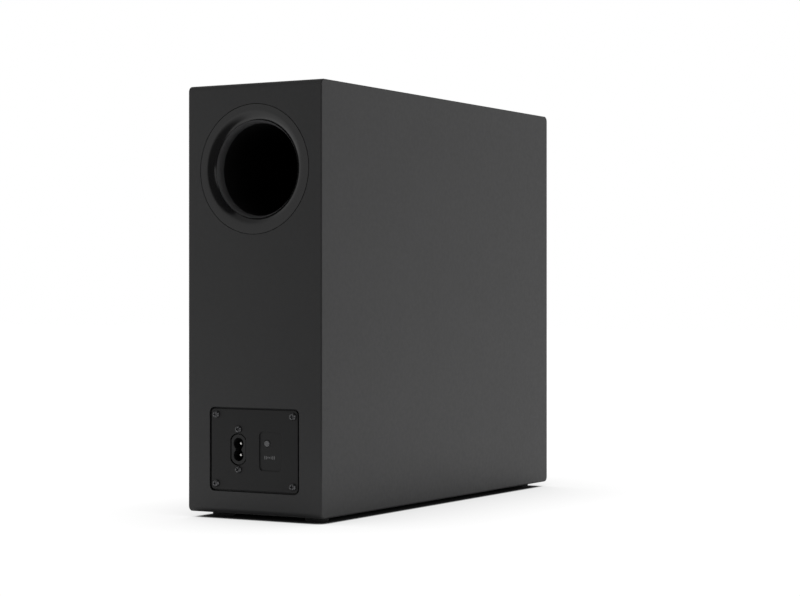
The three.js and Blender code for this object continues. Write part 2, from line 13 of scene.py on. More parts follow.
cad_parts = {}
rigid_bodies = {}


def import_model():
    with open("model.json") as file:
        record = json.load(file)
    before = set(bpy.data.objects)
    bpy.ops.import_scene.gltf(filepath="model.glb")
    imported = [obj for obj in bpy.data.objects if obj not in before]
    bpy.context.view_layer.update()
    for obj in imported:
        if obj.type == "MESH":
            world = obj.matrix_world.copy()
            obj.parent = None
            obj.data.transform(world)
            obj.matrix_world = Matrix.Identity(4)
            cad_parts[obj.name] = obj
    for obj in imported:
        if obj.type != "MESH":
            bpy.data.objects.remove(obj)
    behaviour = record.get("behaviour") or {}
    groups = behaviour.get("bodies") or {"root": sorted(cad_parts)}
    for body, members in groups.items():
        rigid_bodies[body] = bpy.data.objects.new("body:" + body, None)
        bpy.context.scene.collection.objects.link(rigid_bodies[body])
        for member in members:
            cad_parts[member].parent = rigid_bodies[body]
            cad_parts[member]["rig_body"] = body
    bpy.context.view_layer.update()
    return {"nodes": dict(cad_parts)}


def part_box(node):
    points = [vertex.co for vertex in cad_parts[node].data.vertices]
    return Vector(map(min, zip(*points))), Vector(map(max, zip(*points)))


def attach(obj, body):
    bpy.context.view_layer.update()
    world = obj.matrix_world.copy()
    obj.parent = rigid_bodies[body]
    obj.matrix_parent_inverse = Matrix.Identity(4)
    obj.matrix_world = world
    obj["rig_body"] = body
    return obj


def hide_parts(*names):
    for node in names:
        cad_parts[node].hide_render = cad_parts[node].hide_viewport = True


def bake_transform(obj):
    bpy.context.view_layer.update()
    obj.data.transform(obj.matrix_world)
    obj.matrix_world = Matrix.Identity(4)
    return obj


MM = 0.001
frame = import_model()


# ---- places taken from the frame -----------------------------------------------------------------


def middle(node):
    low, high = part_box(node)
    return (low + high) / 2


def facing(origin, outward):
    """Matrix of a local frame whose Z points outward and whose Y is up."""
    z = Vector(outward)
    y = Vector((0, 0, 1))
    matrix = Matrix((y.cross(z), y, z)).transposed().to_4x4()
    matrix.translation = origin
    return matrix


REAR = Vector((0, 1, 0))
SIDE = Vector((1, 0, 0))
rear_low, rear_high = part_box("rear_board")
front_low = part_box("front_board")[0]
port_at = facing((0, rear_high.y, middle("port_flange").z), REAR)
plate_middle = middle("connector_plate")
plate_at = facing((plate_middle.x, rear_high.y, plate_middle.z), REAR)
plate_face = (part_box("connector_plate")[1].y - rear_high.y) / MM
woofer_middle = middle("grille")
woofer_at = facing((rear_high.x, woofer_middle.y, woofer_middle.z), SIDE)


def on_plate(node):
    """A node's middle in the connector plate's frame, in millimetres, as (u, v)."""
    point = plate_at.inverted() @ middle(node)
    return point.x / MM, point.y / MM


def plate_spot(place, level=0.0):
    """The plate's frame, moved to a place on it and out to a level, in millimetres."""
    return plate_at @ Matrix.Translation(Vector((*place, level)) * MM)


# ---- camera --------------------------------------------------------------------------------------

VIEW_TURN = math.radians(30.25)  # between the view and the straight look at the rear face
NEAR_EDGE_DISTANCE = 1.515  # along the view, to the cabinet's nearest upright edge
NEAR_EDGE_ASIDE = 0.05727  # that edge lies this far to the left of the view's axis
EYE_HEIGHT = 0.1644
LENS = 93.2
SENSOR = 36.0
VIEW_SHIFT = 0.0029


def add_camera():
    data = bpy.data.cameras.new("camera")
    data.lens = LENS
    data.sensor_width = SENSOR
    data.shift_y = VIEW_SHIFT
    data.clip_start = 0.05
    data.clip_end = 60
    camera = bpy.data.objects.new("camera", data)
    bpy.context.scene.collection.objects.link(camera)
    ahead = Vector((math.sin(VIEW_TURN), -math.cos(VIEW_TURN), 0))
    right = Vector((-math.cos(VIEW_TURN), -math.sin(VIEW_TURN), 0))
    edge = Vector((rear_low.x, rear_high.y, EYE_HEIGHT))
    camera.location = edge - NEAR_EDGE_DISTANCE * ahead + NEAR_EDGE_ASIDE * right
    camera.rotation_euler = ahead.to_track_quat("-Z", "Y").to_euler()
    bpy.context.scene.camera = camera
    return ahead


# ---- mesh helpers --------------------------------------------------------------------------------


def arc(x, y, radius, start, end, steps):
    """Points on a circle about (x, y), the angles in degrees."""
    points = []
    for i in range(steps + 1):
        angle = math.radians(start + (end - start) * i / steps)
        points.append((x + radius * math.cos(angle), y + radius * math.sin(angle)))
    return points


def fillet(corners, steps=4, closed=True):
    """A polygon of (x, y) or (x, y, radius) corners, with an arc at each corner that has a radius."""
    points = []
    count = len(corners)
    for i, corner in enumerate(corners):
        here = Vector(corner[:2])
        inner = closed or 0 < i < count - 1
        if len(corner) < 3 or not inner:
            points.append(tuple(here))
            continue
        radius = corner[2]
        before = (Vector(corners[i - 1][:2]) - here).normalized()
        after = (Vector(corners[(i + 1) % count][:2]) - here).normalized()
        half = before.angle(after) / 2
        centre = here + (before + after).normalized() * (radius / math.sin(half))
        first = (here + before * (radius / math.tan(half)) - centre).normalized()
        last = (here + after * (radius / math.tan(half)) - centre).normalized()
        for k in range(steps + 1):
            points.append(tuple(centre + radius * first.slerp(last, k / steps)))
    return points


def rounded_rectangle(width, height, radius, steps=8):
    x, y = width / 2, height / 2
    corners = [(x, y, radius), (-x, y, radius), (-x, -y, radius), (x, -y, radius)]
    return fillet(corners, steps)


def circle(radius, steps, x=0.0, y=0.0):
    return arc(x, y, radius, 0, 360, steps)[:-1]


def moved(points, x, y):
    return [(px + x, py + y) for px, py in points]


def arched(width, height, radius):
    """An upright outline with straight sides and an arc across each end."""
    half = math.degrees(math.asin(width / 2 / radius))
    centre = height / 2 - radius
    top = arc(0, centre, radius, 90 - half, 90 + half, 16)
    return top + arc(0, -centre, radius, 270 - half, 270 + half, 16)


def figure_eight(width, height, waist):
    """Two rounds, one over each pin, joined by a narrow waist."""
    radius = width / 2
    centre = height / 2 - radius
    turn = math.degrees(math.acos(waist / width))
    top = arc(0, centre, radius, -turn, 180 + turn, 20)
    return top + arc(0, -centre, radius, 180 - turn, 360 + turn, 20)


def mesh_from(bm, name):
    bmesh.ops.recalc_face_normals(bm, faces=bm.faces)
    mesh = bpy.data.meshes.new(name)
    bm.to_mesh(mesh)
    bm.free()
    return mesh


def lathe(name, profile, segments):
    """Mesh of (radius, z) points turned about Z. It ends on the axis or closes on itself."""
    bm = bmesh.new()
    turns = [2 * math.pi * i / segments for i in range(segments)]
    rings = []
    for radius, z in profile:
        if radius < 1e-6:
            rings.append([bm.verts.new((0, 0, z))])
        else:
            rings.append([bm.verts.new((radius * math.cos(t), radius * math.sin(t), z)) for t in turns])
    pairs = list(zip(rings, rings[1:]))
    if all(len(ring) > 1 for ring in rings):
        pairs.append((rings[-1], rings[0]))
    for a, b in pairs:
        for i in range(segments):
            j = (i + 1) % segments
            loop = [a[i % len(a)], a[j % len(a)], b[j % len(b)], b[i % len(b)]]
            corners = list(dict.fromkeys(loop))
            if len(corners) > 2:
                bm.faces.new(corners)
    return mesh_from(bm, name)


def slab(name, outlines, low, high, edge=0.0, resolution=2):
    """Mesh of a flat plate between two levels: the first outline is its rim and the others are
    holes. Its upper and lower edges are rounded by edge."""
    data = bpy.data.curves.new(name, "CURVE")
    data.dimensions = "2D"
    data.fill_mode = "BOTH"
    data.extrude = (high - low) / 2 - edge
    data.bevel_depth = edge
    data.bevel_resolution = resolution
    data.offset = -edge
    for k, outline in enumerate(outlines):
        turn = sum(a[0] * b[1] - b[0] * a[1] for a, b in zip(outline, outline[1:] + outline[:1]))
        points = outline if (turn > 0) == (k == 0) else outline[::-1]
        spline = data.splines.new("POLY")
        spline.points.add(len(points) - 1)
        for point, (x, y) in zip(spline.points, points):
            point.co = (x, y, 0, 1)
        spline.use_cyclic_u = True
    holder = bpy.data.objects.new(name, data)
    bpy.context.scene.collection.objects.link(holder)
    graph = bpy.context.evaluated_depsgraph_get()
    mesh = bpy.data.meshes.new_from_object(holder.evaluated_get(graph))
    bpy.data.objects.remove(holder)
    bpy.data.curves.remove(data)
    mesh.transform(Matrix.Translation((0, 0, (low + high) / 2)))
    weld(mesh)
    return mesh


def weld(mesh, distance=0.001):
    bm = bmesh.new()
    bm.from_mesh(mesh)
    bmesh.ops.remove_doubles(bm, verts=bm.verts, dist=distance)
    bmesh.ops.recalc_face_normals(bm, faces=bm.faces)
    bm.to_mesh(mesh)
    bm.free()


def joined(name, *meshes):
    """One mesh made of several closed ones."""
    bm = bmesh.new()
    for mesh in meshes:
        bm.from_mesh(mesh)
        bpy.data.meshes.remove(mesh)
    mesh = bpy.data.meshes.new(name)
    bm.to_mesh(mesh)
    bm.free()
    return mesh


def box_mesh(name, low, high):
    """Mesh of a box between two corners."""
    bm = bmesh.new()
    bmesh.ops.create_cube(bm, size=1)
    bmesh.ops.scale(bm, vec=high - low, verts=bm.verts)
    bmesh.ops.translate(bm, vec=(low + high) / 2, verts=bm.verts)
    return mesh_from(bm, name)


def bridge(bm, loops):
    """Quads between each closed loop of corners and the next one."""
    for a, b in zip(loops, loops[1:]):
        for i in range(len(a)):
            bm.faces.new((a[i - 1], a[i], b[i], b[i - 1]))


def carved(mesh, cutters):
    """The mesh with the cutters taken away from it, one after another."""
    scene = bpy.context.scene.collection
    holder = bpy.data.objects.new("carving", mesh)
    scene.objects.link(holder)
    tools = []
    for cutter in cutters:
        tool = bpy.data.objects.new("tool", cutter)
        scene.objects.link(tool)
        modifier = holder.modifiers.new("cut", "BOOLEAN")
        modifier.solver = "EXACT"
        modifier.operation = "DIFFERENCE"
        modifier.object = tool
        tools.append(tool)
    graph = bpy.context.evaluated_depsgraph_get()
    result = bpy.data.meshes.new_from_object(holder.evaluated_get(graph))
    for obj in [holder, *tools]:
        spare = obj.data
        bpy.data.objects.remove(obj)
        bpy.data.meshes.remove(spare)
    return result


SHARP_ANGLE = 50.0  # degrees, above which an edge is rounded
CREASE_ANGLE = 35.0  # degrees, above which the shading breaks


def shade(obj, angle, bevel):
    """Smooth shading with crisp flats: a small rounding on sharp edges, then weighted normals."""
    if bevel:
        rounding = obj.modifiers.new("edge_rounding", "BEVEL")
        rounding.width = bevel * MM
        rounding.segments = 2
        rounding.limit_method = "ANGLE"
        rounding.angle_limit = math.radians(SHARP_ANGLE)
        rounding.use_clamp_overlap = True
    obj.data.set_sharp_from_angle(angle=math.radians(angle))
    normals = obj.modifiers.new("flat_faces", "WEIGHTED_NORMAL")
    normals.keep_sharp = True


def put(name, mesh, material, matrix, body, replaces=(), bevel=0.0, angle=CREASE_ANGLE):
    """A finished piece: a mesh in millimetres, placed in the frame in metres, shaded, riding on its
    body and standing for its CAD nodes."""
    mesh.transform(matrix @ Matrix.Scale(MM, 4))
    mesh.materials.clear()
    mesh.materials.append(material)
    obj = bpy.data.objects.new(name, mesh)
    bpy.context.scene.collection.objects.link(obj)
    shade(obj, angle, bevel)
    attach(obj, body)
    if replaces:
        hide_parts(*replaces)
    return obj


# ---- materials -----------------------------------------------------------------------------------


class Graph:
    """Short ways to add nodes to a node tree."""

    def __init__(self, tree):
        self.tree = tree

    def node(self, kind, **values):
        made = self.tree.nodes.new(kind)
        for key, value in values.items():
            if key in made.inputs:
                made.inputs[key].default_value = value
            else:
                setattr(made, key, value)
        return made

    def link(self, output, target):
        self.tree.links.new(output, target)

    def ranged(self, value, low, high, start=0.3, end=0.7, smooth=False):
        """A value between start and end turned into one between low and high."""
        limits = {"From Min": start, "From Max": end, "To Min": low, "To Max": high}
        node = self.node("ShaderNodeMapRange", **limits)
        if smooth:
            node.interpolation_type = "SMOOTHSTEP"
        self.link(value, node.inputs["Value"])
        return node.outputs["Result"]

    def combined(self, operation, a, b):
        node = self.node("ShaderNodeMath", operation=operation)
        self.link(a, node.inputs[0])
        self.link(b, node.inputs[1])
        return node.outputs[0]

    def vector(self, operation, a, b=None):
        node = self.node("ShaderNodeVectorMath", operation=operation)
        self.link(a, node.inputs[0])
        if b is not None:
            node.inputs[1].default_value = b
        return node.outputs["Value" if operation in ("DOT_PRODUCT", "LENGTH") else "Vector"]


class Surface(Graph):
    """A Principled material and short ways to give it procedural detail."""

    def __init__(self, name, color, roughness, metallic=0.0, specular=0.5):
        self.material = bpy.data.materials.new(name)
        self.material.use_nodes = True
        super().__init__(self.material.node_tree)
        self.shader = self.tree.nodes["Principled BSDF"]
        self.shader.inputs["Base Color"].default_value = (*color, 1)
        self.shader.inputs["Roughness"].default_value = roughness
        self.shader.inputs["Metallic"].default_value = metallic
        self.shader.inputs["Specular IOR Level"].default_value = specular
        self.coordinates = self.tree.nodes.new("ShaderNodeTexCoord").outputs["Object"]
        self.color = color
        self.roughness = roughness
        self.height = None

    def noise(self, size, detail=2.0, stretch=(1, 1, 1), distortion=0.0):
        """A noise whose features are about size millimetres across."""
        mapping = self.node("ShaderNodeMapping", Scale=[s / (size * MM) for s in stretch])
        self.link(self.coordinates, mapping.inputs["Vector"])
        texture = self.node("ShaderNodeTexNoise", Scale=1.0, Detail=detail, Distortion=distortion)
        self.link(mapping.outputs["Vector"], texture.inputs["Vector"])
        return texture.outputs["Fac"]

    def cells(self, size, feature="F1"):
        """Rounded cells about size millimetres across."""
        mapping = self.node("ShaderNodeMapping", Scale=[1 / (size * MM)] * 3)
        self.link(self.coordinates, mapping.inputs["Vector"])
        texture = self.node("ShaderNodeTexVoronoi", feature=feature, Scale=1.0)
        self.link(mapping.outputs["Vector"], texture.inputs["Vector"])
        return texture.outputs["Distance"]

    def tint(self, value, dark, light, start=0.3, end=0.7):
        """The colour, scaled from dark to light by a value."""
        ramp = self.node("ShaderNodeValToRGB")
        ramp.color_ramp.elements[0].position = start
        ramp.color_ramp.elements[1].position = end
        ramp.color_ramp.elements[0].color = (*[c * dark for c in self.color], 1)
        ramp.color_ramp.elements[1].color = (*[c * light for c in self.color], 1)
        self.link(value, ramp.inputs["Fac"])
        self.link(ramp.outputs["Color"], self.shader.inputs["Base Color"])
        return self

    def gloss(self, value, spread, start=0.3, end=0.7):
        """The roughness, varied by spread either way."""
        low, high = self.roughness - spread, self.roughness + spread
        self.link(self.ranged(value, low, high, start, end), self.shader.inputs["Roughness"])
        return self

    def bump(self, value, depth, strength=1.0):
        """A relief of depth millimetres, on top of any before it."""
        node = self.node("ShaderNodeBump", Strength=strength, Distance=depth * MM)
        self.link(value, node.inputs["Height"])
        if self.height is not None:
            self.link(self.height, node.inputs["Normal"])
        self.height = node.outputs["Normal"]
        self.link(self.height, self.shader.inputs["Normal"])
        return self


def cabinet_film():
    """Matte dark grey film over fibreboard: a fine even grain with faint long-range clouding."""
    s = Surface("cabinet_film", (0.0185, 0.0185, 0.019), 0.5, specular=0.4)
    s.tint(s.noise(38, 3), 0.955, 1.045)
    s.gloss(s.noise(3.2, 3), 0.035)
    s.bump(s.cells(0.42), 0.010, 0.25)
    s.bump(s.noise(0.9, 3), 0.008, 0.2)
    return s.material


def satin_plastic():
    """Black moulded plastic with a fine spark-eroded texture."""
    s = Surface("satin_plastic", (0.0075, 0.0075, 0.0078), 0.44, specular=0.26)
    s.tint(s.noise(16, 2), 0.95, 1.05)
    s.gloss(s.noise(1.4, 2), 0.04)
    s.bump(s.noise(0.28, 3), 0.012, 0.35)
    return s.material


def port_plastic():
    """The port's moulding: smoother, so that its flare picks up soft reflections."""
    s = Surface("port_plastic", (0.0085, 0.0085, 0.0088), 0.16, specular=0.4)
    s.tint(s.noise(20, 2), 0.96, 1.04)
    s.gloss(s.noise(2.2, 2), 0.025)
    s.bump(s.noise(0.6, 2), 0.003, 0.2)
    return s.material


def black_plastic():
    s = Surface("black_plastic", (0.009, 0.009, 0.0094), 0.44, specular=0.28)
    s.tint(s.noise(7, 2), 0.92, 1.08)
    s.gloss(s.noise(0.8, 2), 0.05)
    s.bump(s.noise(0.22, 2), 0.008, 0.3)
    return s.material


def sleeve_plastic():
    """The port's inner sleeve: dull dark grey, so that it shows where the glossy flare is black."""
    s = Surface("sleeve_plastic", (0.075, 0.075, 0.077), 0.5, specular=0.35)
    s.tint(s.noise(9, 2), 0.93, 1.07)
    s.gloss(s.noise(1.5, 2), 0.04)
    s.bump(s.noise(0.4, 2), 0.008, 0.3)
    return s.material


def grey_plastic():
    s = Surface("grey_plastic", (0.1, 0.1, 0.104), 0.4)
    s.tint(s.noise(3, 2), 0.94, 1.06)
    s.gloss(s.noise(0.6, 2), 0.05)
    s.bump(s.noise(0.2, 2), 0.006, 0.3)
    return s.material


def print_ink():
    """Pale grey ink, a little patchy where it was pad printed."""
    s = Surface("print_ink", (0.2, 0.2, 0.206), 0.5)
    s.tint(s.noise(0.5, 3), 0.75, 1.1)
    s.bump(s.noise(0.15, 2), 0.004, 0.3)
    return s.material


def black_steel():
    """Blackened steel with faint handling marks."""
    s = Surface("black_steel", (0.085, 0.085, 0.088), 0.24, metallic=0.9)
    s.tint(s.noise(1.6, 3), 0.8, 1.25)
    s.gloss(s.noise(0.7, 3), 0.07)
    s.bump(s.noise(0.12, 2), 0.004, 0.35)
    return s.material


def grille_paint():
    """Black powder coat, with the fine pebbling that it leaves on steel."""
    s = Surface("grille_paint", (0.017, 0.017, 0.0175), 0.5, specular=0.45)
    s.tint(s.noise(30, 2), 0.95, 1.06)
    s.gloss(s.noise(1.2, 2), 0.05)
    s.bump(s.cells(0.3), 0.012, 0.4)
    return s.material


def bright_metal():
    """Nickel plate with fine turning lines."""
    s = Surface("bright_metal", (0.62, 0.61, 0.59), 0.2, metallic=1.0)
    s.tint(s.noise(0.8, 2), 0.9, 1.05)
    s.gloss(s.noise(0.3, 2), 0.06)
    s.bump(s.noise(0.1, 2, stretch=(1, 14, 1)), 0.002, 0.3)
    return s.material


def zinc_steel():
    s = Surface("zinc_steel", (0.42, 0.43, 0.45), 0.36, metallic=1.0)
    s.tint(s.cells(4.0), 0.82, 1.1, 0.0, 0.8)
    s.gloss(s.noise(2.0, 3), 0.08)
    s.bump(s.noise(0.4, 3), 0.006, 0.3)
    return s.material


def aluminium():
    s = Surface("aluminium", (0.55, 0.56, 0.57), 0.38, metallic=1.0)
    s.tint(s.noise(9, 3), 0.92, 1.05)
    s.gloss(s.noise(0.3, 2, stretch=(1, 0.03, 1)), 0.08)
    s.bump(s.noise(0.2, 2, stretch=(1, 0.02, 1)), 0.004, 0.4)
    return s.material


def rubber(name="rubber", color=(0.011, 0.011, 0.011)):
    s = Surface(name, color, 0.74, specular=0.3)
    s.tint(s.noise(5, 3), 0.85, 1.2)
    s.gloss(s.noise(1.0, 2), 0.06)
    s.bump(s.noise(0.35, 3), 0.02, 0.4)
    return s.material


def raw_board():
    """Bare fibreboard: short pressed fibres."""
    s = Surface("raw_board", (0.33, 0.22, 0.13), 0.85, specular=0.2)
    s.tint(s.noise(0.9, 4, stretch=(1, 0.35, 1)), 0.78, 1.18)
    s.bump(s.noise(0.5, 4), 0.05, 0.5)
    return s.material


def paper_cone():
    """Black pressed paper pulp, with matted fibres."""
    s = Surface("paper_cone", (0.013, 0.013, 0.0135), 0.8, specular=0.25)
    s.tint(s.noise(1.1, 5, distortion=0.6), 0.6, 1.7)
    s.bump(s.noise(0.6, 5, distortion=0.8), 0.08, 0.6)
    return s.material


def ferrite():
    s = Surface("ferrite", (0.035, 0.035, 0.038), 0.62, specular=0.35)
    s.tint(s.noise(2.4, 4), 0.8, 1.25)
    s.bump(s.noise(0.5, 4), 0.03, 0.5)
    return s.material


def circuit():
    """Solder mask over copper tracks, which show as a faint grid of paler bands."""
    s = Surface("circuit", (0.012, 0.085, 0.03), 0.34)
    s.tint(s.cells(2.6, "DISTANCE_TO_EDGE"), 1.35, 0.85, 0.02, 0.12)
    s.gloss(s.noise(1.0, 2), 0.06)
    s.bump(s.cells(2.6, "DISTANCE_TO_EDGE"), 0.03, 0.4)
    return s.material


def copper():
    """Enamelled copper wire, wound side by side."""
    s = Surface("copper", (0.52, 0.2, 0.075), 0.3, metallic=0.9)
    s.tint(s.noise(2.0, 3), 0.8, 1.15)
    s.bump(s.noise(0.4, 1, stretch=(1, 1, 0.1)), 0.05, 0.5)
    return s.material


def wadding(name="wadding", color=(0.62, 0.61, 0.57)):
    """Loose polyester fibres."""
    s = Surface(name, color, 0.95, specular=0.15)
    s.tint(s.noise(1.6, 6, distortion=1.4), 0.7, 1.15)
    s.bump(s.noise(1.1, 6, distortion=1.6), 0.5, 0.7)
    return s.material


FILM = cabinet_film()
SATIN = satin_plastic()
PORT = port_plastic()
SLEEVE = sleeve_plastic()
BLACK = black_plastic()
GREY = grey_plastic()
INK = print_ink()
BLACK_STEEL = black_steel()
GRILLE_PAINT = grille_paint()
BRIGHT = bright_metal()
ZINC = zinc_steel()
ALUMINIUM = aluminium()
RUBBER = rubber()
SHEATH = rubber("lead_sheath", (0.022, 0.022, 0.023))
RAW_BOARD = raw_board()
PAPER = paper_cone()
FERRITE = ferrite()
CIRCUIT = circuit()
COPPER = copper()
WADDING = wadding()
SPIDER_CLOTH = wadding("spider_cloth", (0.30, 0.24, 0.12))


# ---- cabinet -------------------------------------------------------------------------------------
# Sizes are in millimetres. A flat outline is (width, height, corner radius).

EDGE_RADIUS = 4.2  # of the edges along X
SIDE_EDGE_RADIUS = 1.0  # round the two side faces
WALL = 12.0
CUT_EDGE = 0.25  # rounding of the edges of the seats and holes
CUT_MARGIN = 3.0  # of a cutter, above the face that it cuts
THROUGH = -WALL - 2.0  # lower end of a cutter that goes through a wall
FLANGE_SEAT = (48.9, 2.9)  # radius and depth
FLARE_HOLE = 47.1
PLATE_SEAT = (80.4, 63.4, 4.3)
PLATE_SEAT_DEPTH = 3.5
PLATE_OPENING = (60.0, 44.0, 2.0)
GRILLE_SEAT = (86.0, 3.5)  # radius and depth
WOOFER_HOLE = 83.0
BOARDS = ["side_board_plain", "side_board_woofer"]
BOARDS += [f"{side}_board" for side in ("top", "bottom", "front", "rear")]


def drill(radius, low, matrix, segments):
    """A round cutter in a face's own frame, ready in metres."""
    profile = [(0, low), (radius, low), (radius, CUT_MARGIN), (0, CUT_MARGIN)]
    mesh = lathe("drill", profile, segments)
    mesh.transform(matrix @ Matrix.Scale(MM, 4))
    return mesh


def punch(outline, low, matrix):
    """A cutter with a given outline in a face's own frame, ready in metres."""
    mesh = slab("punch", [outline], low, CUT_MARGIN)
    mesh.transform(matrix @ Matrix.Scale(MM, 4))
    return mesh


def cabinet_skin():
    """One hollow box with rounded edges stands for the six boards, whose joints never show."""
    low = Vector((rear_low.x, front_low.y, rear_low.z)) / MM
    high = rear_high / MM
    across, depth, height = high - low
    profile = rounded_rectangle(depth, height, EDGE_RADIUS, 12)
    skin = slab("skin", [profile], -across / 2, across / 2, SIDE_EDGE_RADIUS, 4)
    skin.transform(facing((low + high) / 2, SIDE))
    wall = Vector((WALL,) * 3)
    inside = box_mesh("inside", low + wall, high - wall)
    for mesh in (skin, inside):
        mesh.transform(Matrix.Scale(MM, 4))
    cutters = [
        inside,
        drill(FLANGE_SEAT[0], -FLANGE_SEAT[1], port_at, 160),
        drill(FLARE_HOLE, THROUGH, port_at, 192),
        punch(rounded_rectangle(*PLATE_SEAT), -PLATE_SEAT_DEPTH, plate_at),
        punch(rounded_rectangle(*PLATE_OPENING), THROUGH, plate_at),
        drill(GRILLE_SEAT[0], -GRILLE_SEAT[1], woofer_at, 192),
        drill(WOOFER_HOLE, THROUGH, woofer_at, 160),
    ]
    mesh = carved(skin, cutters)
    mesh.transform(Matrix.Scale(1 / MM, 4))
    weld(mesh, 0.01)
    at = Matrix.Identity(4)
    put("cabinet", mesh, FILM, at, "cabinet", BOARDS, bevel=CUT_EDGE)


# ---- port ----------------------------------------------------------------------------------------

PORT_BORE = 34.8
PORT_WALL = 2.5
PORT_LENGTH = 285.0
PORT_JOINT = 0.1  # between the sleeve and the liner
FLANGE_RADIUS = 48.6
FLANGE_DEPTH = 2.8
FLANGE_EDGE = 0.3
FLANGE_STEP = 2.0  # at the back, between the flange and the flare
FLARE = 9.5
FLARE_END = 142.0  # degrees round the flare's arc, where the sleeve takes over
FLARE_SEAM = 2.0  # degrees
# depth of the key light's shadow edge in the bore: the black liner from here on is partly painted
# shadow
SLEEVE_DEPTH = 11.0
INNER_FLARE = 10.0
MOUTH = PORT_BORE + FLARE
PORT_OUTER = PORT_BORE + PORT_WALL


def port_flange():
    """The flush ring round the port and the outer part of its flare."""
    corners = [
        (MOUTH + FLANGE_STEP, -FLANGE_DEPTH),
        (FLANGE_RADIUS, -FLANGE_DEPTH, FLANGE_EDGE),
        (FLANGE_RADIUS, 0, FLANGE_EDGE),
    ]
    rim = fillet([*corners, (MOUTH, 0)], 4, False)[:-1]
    front = arc(MOUTH, -FLARE, FLARE, 90, FLARE_END, 18)
    back = arc(MOUTH, -FLARE, FLARE - PORT_WALL, FLARE_END, 90, 10)[:-1]
    mesh = lathe("port_flange", rim + front + back, 160)
    put("port_moulding", mesh, PORT, port_at, "cabinet", ["port_flange"])


def port_sleeve():
    """The inner part of the flare and the start of the bore."""
    start = FLARE_END + FLARE_SEAM
    front = arc(MOUTH, -FLARE, FLARE, start, 180, 14)
    back = arc(MOUTH, -FLARE, FLARE - PORT_WALL, 180, start, 10)
    end = [(PORT_BORE, -SLEEVE_DEPTH), (PORT_OUTER, -SLEEVE_DEPTH)]
    mesh = lathe("port_sleeve", front + end + back, 160)
    put("port_sleeve", mesh, SLEEVE, port_at, "cabinet")


def port_liner():
    """The rest of the tube, with a flare at its inner end. It is black plastic, and its sharp dark
    start behind the grey sleeve is also a painted shadow edge, where the key light stops reaching.
    """
    start = -SLEEVE_DEPTH - PORT_JOINT
    end = -PORT_LENGTH + INNER_FLARE
    lip = arc(PORT_BORE + INNER_FLARE, end, INNER_FLARE, 180, 270, 14)
    lip_back = arc(PORT_BORE + INNER_FLARE, end, INNER_FLARE - PORT_WALL, 270, 180, 12)
    mesh = lathe("port_liner", [(PORT_BORE, start), *lip, *lip_back, (PORT_OUTER, start)], 128)
    names = ["port_tube", "port_inner_flare"]
    put("port_liner", mesh, BLACK, port_at, "cabinet", names)


# ---- connector plate -----------------------------------------------------------------------------

PLATE_SIZE = (77.8, 60.8, 3.0)
PLATE_THICKNESS = 2.0
PLATE_EDGE = 0.3
SCREW_HOLE = 1.7
INLET_AT = on_plate("mains_inlet")
INLET_BEZEL = (12.9, 22.6, 7.0)  # width, height and radius of its arched ends
INLET_GAP = 0.8
TIGHT_GAP = 0.15  # the inlet sits against one side of its hole
POCKET = (20.0, 29.0, 3.0)
POCKET_AT = (14.6, -0.4)
POCKET_DEPTH = 0.8
FLOOR_LAP = 1.5  # of the pocket's floor behind the plate
FLOOR_STEP = 0.7  # of the floor out of the plate's back
FLOOR_EDGE = 0.12
COVE_RADIUS = 0.2
COVE_STEPS = 4
COVE_ROOT = 0.3  # depth below the pocket's floor
COVE_LIFT = 0.01  # keeps the cove clear of the floor's surface
COVE_SPREAD = 0.1  # sinks the cove into the pocket's wall
BUTTON_AT = on_plate("pair_button")
BUTTON_RADIUS = 2.3
BUTTON_GAP = 0.3


def grown(outline, margin):
    """A (width, height, radius) outline, larger by margin all round."""
    width, height, radius = outline
    return width + 2 * margin, height + 2 * margin, radius + margin


def screw_holes():
    names = [f"plate_screw_{i}" for i in range(1, 5)] + ["inlet_screw_upper", "inlet_screw_lower"]
    return [circle(SCREW_HOLE, 24, *on_plate(name)) for name in names]


def plate():
    back = plate_face - PLATE_THICKNESS
    level = plate_face - POCKET_DEPTH
    width, height, radius = INLET_BEZEL
    inlet_hole = arched(width + INLET_GAP + TIGHT_GAP, height + 2 * INLET_GAP, radius + INLET_GAP)
    inlet_hole = moved(inlet_hole, INLET_AT[0] - (INLET_GAP - TIGHT_GAP) / 2, INLET_AT[1])
    pocket = moved(rounded_rectangle(*POCKET), *POCKET_AT)
    outlines = [rounded_rectangle(*PLATE_SIZE), inlet_hole, pocket, *screw_holes()]
    face = slab("face", outlines, back, plate_face, PLATE_EDGE, 3)
    backing = moved(rounded_rectangle(*grown(POCKET, FLOOR_LAP)), *POCKET_AT)
    button_hole = circle(BUTTON_RADIUS + BUTTON_GAP, 48, *BUTTON_AT)
    floor = slab("floor", [backing, button_hole], back - FLOOR_STEP, level, FLOOR_EDGE)
    mesh = joined("connector_plate", face, floor, pocket_cove(level))
    put("plate_moulding", mesh, SATIN, plate_at, "cabinet", ["connector_plate"])


def pocket_cove(level):
    """The small radius where the pocket's wall meets its floor, as a closed strip."""
    bm = bmesh.new()

    def ring(outline, z):
        return [bm.verts.new((x, y, z)) for x, y in moved(rounded_rectangle(*outline), *POCKET_AT)]

    loops = []
    for k in range(COVE_STEPS + 1):
        angle = math.radians(90 * k / COVE_STEPS)
        width, height, radius = grown(POCKET, -COVE_RADIUS * (1 - math.sin(angle)))
        lift = COVE_LIFT + COVE_RADIUS * (1 - math.cos(angle))
        loops.append(ring((width + COVE_SPREAD, height + COVE_SPREAD, radius), level + lift))
    wall = grown(POCKET, COVE_RADIUS)
    loops.append(ring(wall, level + COVE_RADIUS))
    loops.append(ring(wall, level - COVE_ROOT))
    loops.append([bm.verts.new((v.co.x, v.co.y, level - COVE_ROOT)) for v in loops[0]])
    bridge(bm, [*loops, loops[0]])
    return mesh_from(bm, "cove")


# ---- mains inlet ---------------------------------------------------------------------------------

